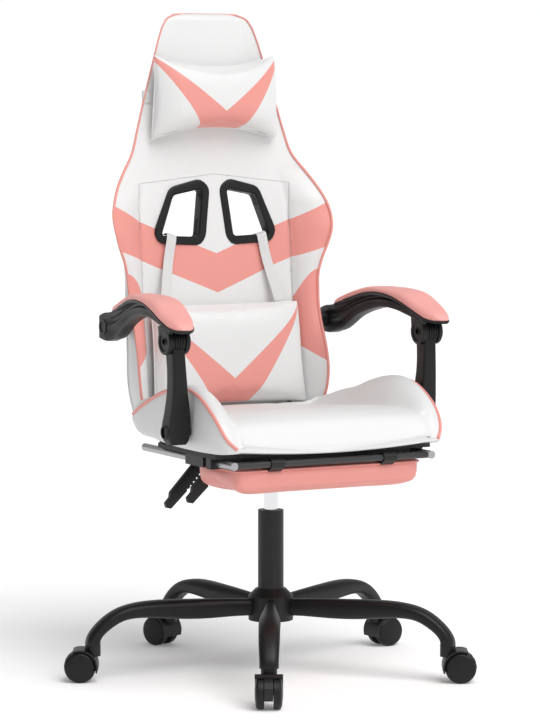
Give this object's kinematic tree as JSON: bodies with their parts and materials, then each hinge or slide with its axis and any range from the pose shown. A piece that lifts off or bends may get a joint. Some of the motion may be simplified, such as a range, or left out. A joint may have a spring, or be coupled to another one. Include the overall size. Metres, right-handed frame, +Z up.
{
  "type": "gaming chair",
  "caption": "High-backed gaming chair with linked arms, loose head and lumbar cushions, gas lift, five-leg caster base and pull-out footrest.",
  "frame": {"origin": "on the floor, on the gas-lift column's axis", "axes": "+Z up; the sitter faces -Y; +X is the sitter's left"},
  "size_m": [0.786, 0.7813, 1.2827],
  "materials": {
    "black_plastic": "matte",
    "black_steel": "satin",
    "steel": "satin",
    "chrome": "polished",
    "white_vinyl": "satin",
    "pink_vinyl": "satin",
    "plywood": "matte",
    "grey_metal": "satin",
    "back_panel": "satin"
  },
  "bodies": {
    "base": {"star_base": "black_plastic", "column_tube": "black_steel", "guide_bushing": "black_plastic", "thrust_bearing": "steel"},
    "lift_rod": {"piston_rod": "steel", "rod_clip": "steel"},
    "seat": {"pressure_tube": "chrome", "mechanism_housing": "black_steel", "seat_board": "plywood", "seat_cushion": "white_vinyl", "seat_bolster_left": "white_vinyl", "seat_bolster_right": "white_vinyl", "seat_hinge_plates": "black_steel", "post_bolts": "steel", "footrest_rails": "black_steel"},
    "back": {"back_cushion": "white_vinyl", "back_shell": "back_panel", "back_bolster_left": "white_vinyl", "back_bolster_right": "white_vinyl", "bezel_left": "black_plastic", "bezel_right": "black_plastic", "back_hinge_plates": "black_steel", "arm_bolts": "steel", "head_pillow": "white_vinyl", "head_strap": "white_vinyl", "lumbar_cushion": "white_vinyl", "lumbar_straps": "white_vinyl"},
    "arm_left": {"arm_frame_left": "black_plastic", "arm_pad_left": "pink_vinyl", "knuckle_pin_left": "steel"},
    "post_left": {"arm_post_left": "black_plastic"},
    "arm_right": {"arm_frame_right": "black_plastic", "arm_pad_right": "pink_vinyl", "knuckle_pin_right": "steel"},
    "post_right": {"arm_post_right": "black_plastic"},
    "footrest_slider": {"footrest_rods": "grey_metal"},
    "footrest_flap": {"footrest_board": "plywood", "footrest_pad": "pink_vinyl"},
    "height_lever_body": {"height_lever": "black_plastic"},
    "recline_lever_body": {"recline_lever": "black_plastic"},
    "caster_1": {"caster_hood_1": "black_plastic", "caster_pins_1": "steel"},
    "wheel_1_left": {"wheel_1_left": "black_plastic"},
    "wheel_1_right": {"wheel_1_right": "black_plastic"},
    "caster_2": {"caster_hood_2": "black_plastic", "caster_pins_2": "steel"},
    "wheel_2_left": {"wheel_2_left": "black_plastic"},
    "wheel_2_right": {"wheel_2_right": "black_plastic"},
    "caster_3": {"caster_hood_3": "black_plastic", "caster_pins_3": "steel"},
    "wheel_3_left": {"wheel_3_left": "black_plastic"},
    "wheel_3_right": {"wheel_3_right": "black_plastic"},
    "caster_4": {"caster_hood_4": "black_plastic", "caster_pins_4": "steel"},
    "wheel_4_left": {"wheel_4_left": "black_plastic"},
    "wheel_4_right": {"wheel_4_right": "black_plastic"},
    "caster_5": {"caster_hood_5": "black_plastic", "caster_pins_5": "steel"},
    "wheel_5_left": {"wheel_5_left": "black_plastic"},
    "wheel_5_right": {"wheel_5_right": "black_plastic"}
  },
  "joints": [
    {"name": "seat_swivel", "type": "hinge", "parent": "base", "child": "lift_rod", "pos_m": [0, 0, 0.2], "axis": [0, 0, 1], "continuous": true},
    {"name": "seat_height", "type": "slide", "parent": "lift_rod", "child": "seat", "axis": [0, 0, 1], "range_m": [-0.055, 0.02]},
    {"name": "recline", "type": "hinge", "parent": "seat", "child": "back", "pos_m": [0, 0.214, 0.499], "axis": [-1, 0, 0], "range_deg": [0, 35]},
    {"name": "arm_left_pivot", "type": "hinge", "parent": "back", "child": "arm_left", "pos_m": [0.24, 0.205, 0.669], "axis": [-1, 0, 0], "range_deg": [-35, 0]},
    {"name": "post_left_pivot", "type": "hinge", "parent": "seat", "child": "post_left", "pos_m": [0.27, -0.122, 0.494], "axis": [-1, 0, 0], "range_deg": [0, 35]},
    {"name": "arm_right_pivot", "type": "hinge", "parent": "back", "child": "arm_right", "pos_m": [-0.24, 0.205, 0.669], "axis": [-1, 0, 0], "range_deg": [-35, 0]},
    {"name": "post_right_pivot", "type": "hinge", "parent": "seat", "child": "post_right", "pos_m": [-0.27, -0.122, 0.494], "axis": [-1, 0, 0], "range_deg": [0, 35]},
    {"name": "footrest_slide", "type": "slide", "parent": "seat", "child": "footrest_slider", "axis": [0, -1, 0], "range_m": [0, 0.19]},
    {"name": "footrest_flip", "type": "hinge", "parent": "footrest_slider", "child": "footrest_flap", "pos_m": [0, -0.247, 0.439], "axis": [-1, 0, 0], "range_deg": [0, 180]},
    {"name": "height_lever_lift", "type": "hinge", "parent": "seat", "child": "height_lever_body", "pos_m": [-0.07, -0.034, 0.424], "axis": [0, 1, 0], "range_deg": [0, 8], "stiffness_Nm_per_rad": 0.5, "springref_deg": -17.19},
    {"name": "recline_lever_lift", "type": "hinge", "parent": "seat", "child": "recline_lever_body", "pos_m": [-0.07, 0.018, 0.424], "axis": [0, 1, 0], "range_deg": [0, 8], "stiffness_Nm_per_rad": 0.5, "springref_deg": -17.19},
    {"name": "caster_1_swivel", "type": "hinge", "parent": "base", "child": "caster_1", "pos_m": [-0.17089, -0.31344, 0.08], "axis": [0, 0, 1], "continuous": true},
    {"name": "wheel_1_left_spin", "type": "hinge", "parent": "caster_1", "child": "wheel_1_left", "pos_m": [-0.18238, -0.33451, 0.03], "axis": [0.878, -0.4787, 0], "continuous": true},
    {"name": "wheel_1_right_spin", "type": "hinge", "parent": "caster_1", "child": "wheel_1_right", "pos_m": [-0.18238, -0.33451, 0.03], "axis": [0.878, -0.4787, 0], "continuous": true},
    {"name": "caster_2_swivel", "type": "hinge", "parent": "base", "child": "caster_2", "pos_m": [0.24529, -0.25939, 0.08], "axis": [0, 0, 1], "continuous": true},
    {"name": "wheel_2_left_spin", "type": "hinge", "parent": "caster_2", "child": "wheel_2_left", "pos_m": [0.26648, -0.27065, 0.03], "axis": [0.4695, 0.8829, 0], "continuous": true},
    {"name": "wheel_2_right_spin", "type": "hinge", "parent": "caster_2", "child": "wheel_2_right", "pos_m": [0.26648, -0.27065, 0.03], "axis": [0.4695, 0.8829, 0], "continuous": true},
    {"name": "caster_3_swivel", "type": "hinge", "parent": "base", "child": "caster_3", "pos_m": [0.32249, 0.15313, 0.08], "axis": [0, 0, 1], "continuous": true},
    {"name": "wheel_3_left_spin", "type": "hinge", "parent": "caster_3", "child": "wheel_3_left", "pos_m": [0.3464, 0.15522, 0.03], "axis": [-0.0872, 0.9962, 0], "continuous": true},
    {"name": "wheel_3_right_spin", "type": "hinge", "parent": "caster_3", "child": "wheel_3_right", "pos_m": [0.3464, 0.15522, 0.03], "axis": [-0.0872, 0.9962, 0], "continuous": true},
    {"name": "caster_4_swivel", "type": "hinge", "parent": "base", "child": "caster_4", "pos_m": [-0.04598, 0.35403, 0.08], "axis": [0, 0, 1], "continuous": true},
    {"name": "wheel_4_left_spin", "type": "hinge", "parent": "caster_4", "child": "wheel_4_left", "pos_m": [-0.05497, 0.37628, 0.03], "axis": [-0.9272, -0.3746, 0], "continuous": true},
    {"name": "wheel_4_right_spin", "type": "hinge", "parent": "caster_4", "child": "wheel_4_right", "pos_m": [-0.05497, 0.37628, 0.03], "axis": [-0.9272, -0.3746, 0], "continuous": true},
    {"name": "caster_5_swivel", "type": "hinge", "parent": "base", "child": "caster_5", "pos_m": [-0.35091, 0.06567, 0.08], "axis": [0, 0, 1], "continuous": true},
    {"name": "wheel_5_left_spin", "type": "hinge", "parent": "caster_5", "child": "wheel_5_left", "pos_m": [-0.3721, 0.07694, 0.03], "axis": [-0.4695, -0.8829, 0], "continuous": true},
    {"name": "wheel_5_right_spin", "type": "hinge", "parent": "caster_5", "child": "wheel_5_right", "pos_m": [-0.3721, 0.07694, 0.03], "axis": [-0.4695, -0.8829, 0], "continuous": true}
  ],
  "couplings": [
    {"joint": "arm_left_pivot", "follows": "recline", "ratio": -1},
    {"joint": "post_left_pivot", "follows": "recline", "ratio": 1},
    {"joint": "arm_right_pivot", "follows": "recline", "ratio": -1},
    {"joint": "post_right_pivot", "follows": "recline", "ratio": 1}
  ]
}
